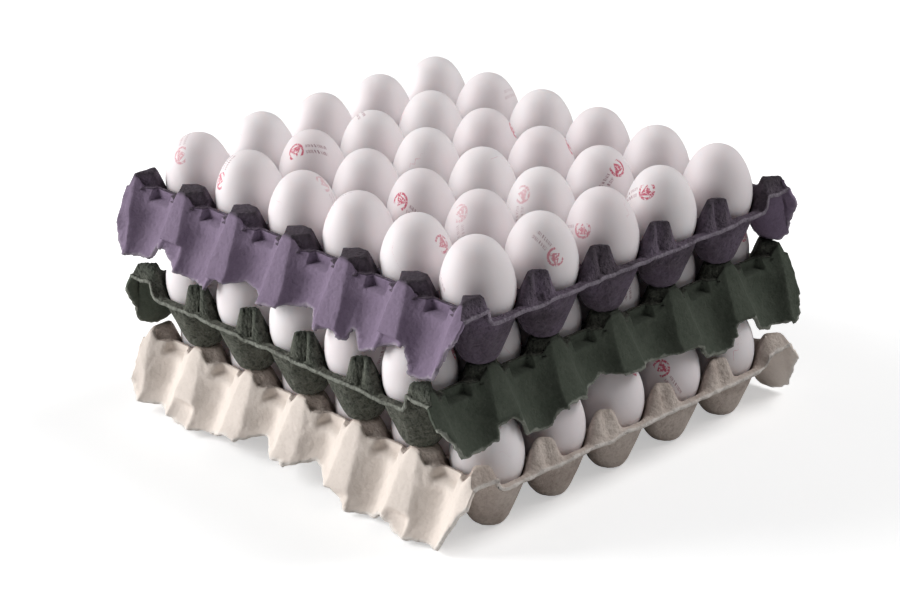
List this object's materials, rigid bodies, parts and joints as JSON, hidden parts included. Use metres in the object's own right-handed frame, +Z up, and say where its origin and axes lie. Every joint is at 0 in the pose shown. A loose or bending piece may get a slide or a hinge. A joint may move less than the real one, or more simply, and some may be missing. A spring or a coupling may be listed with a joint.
{
  "type": "stack of egg trays",
  "caption": "Stack of moulded pulp egg trays in different colours, each full of white eggs, with every second tray turned a quarter so that its cups stand on the posts of the one below",
  "frame": {"origin": "centre of the footprint on the floor, under the cups of the lowest tray", "axes": "+Z up, X along the six-egg rows of the top and bottom trays, Y along their five-egg rows; the skirts of those two trays face -Y and +Y"},
  "size_m": [0.296, 0.292, 0.1693],
  "materials": {
    "pulp_beige": "matte",
    "pulp_green": "matte",
    "pulp_purple": "matte",
    "shell": "satin"
  },
  "bodies": {
    "root": {"tray_bottom": "pulp_beige", "tray_middle": "pulp_green", "tray_top": "pulp_purple", "eggs_bottom_row_1": "shell", "eggs_bottom_row_2": "shell", "eggs_bottom_row_3": "shell", "eggs_bottom_row_4": "shell", "eggs_bottom_row_5": "shell", "eggs_bottom_row_6": "shell", "eggs_middle_row_1": "shell", "eggs_middle_row_2": "shell", "eggs_middle_row_3": "shell", "eggs_middle_row_4": "shell", "eggs_middle_row_5": "shell", "eggs_middle_row_6": "shell", "eggs_top_row_1": "shell", "eggs_top_row_2": "shell", "eggs_top_row_3": "shell", "eggs_top_row_4": "shell", "eggs_top_row_5": "shell", "eggs_top_row_6": "shell"}
  },
  "joints": []
}
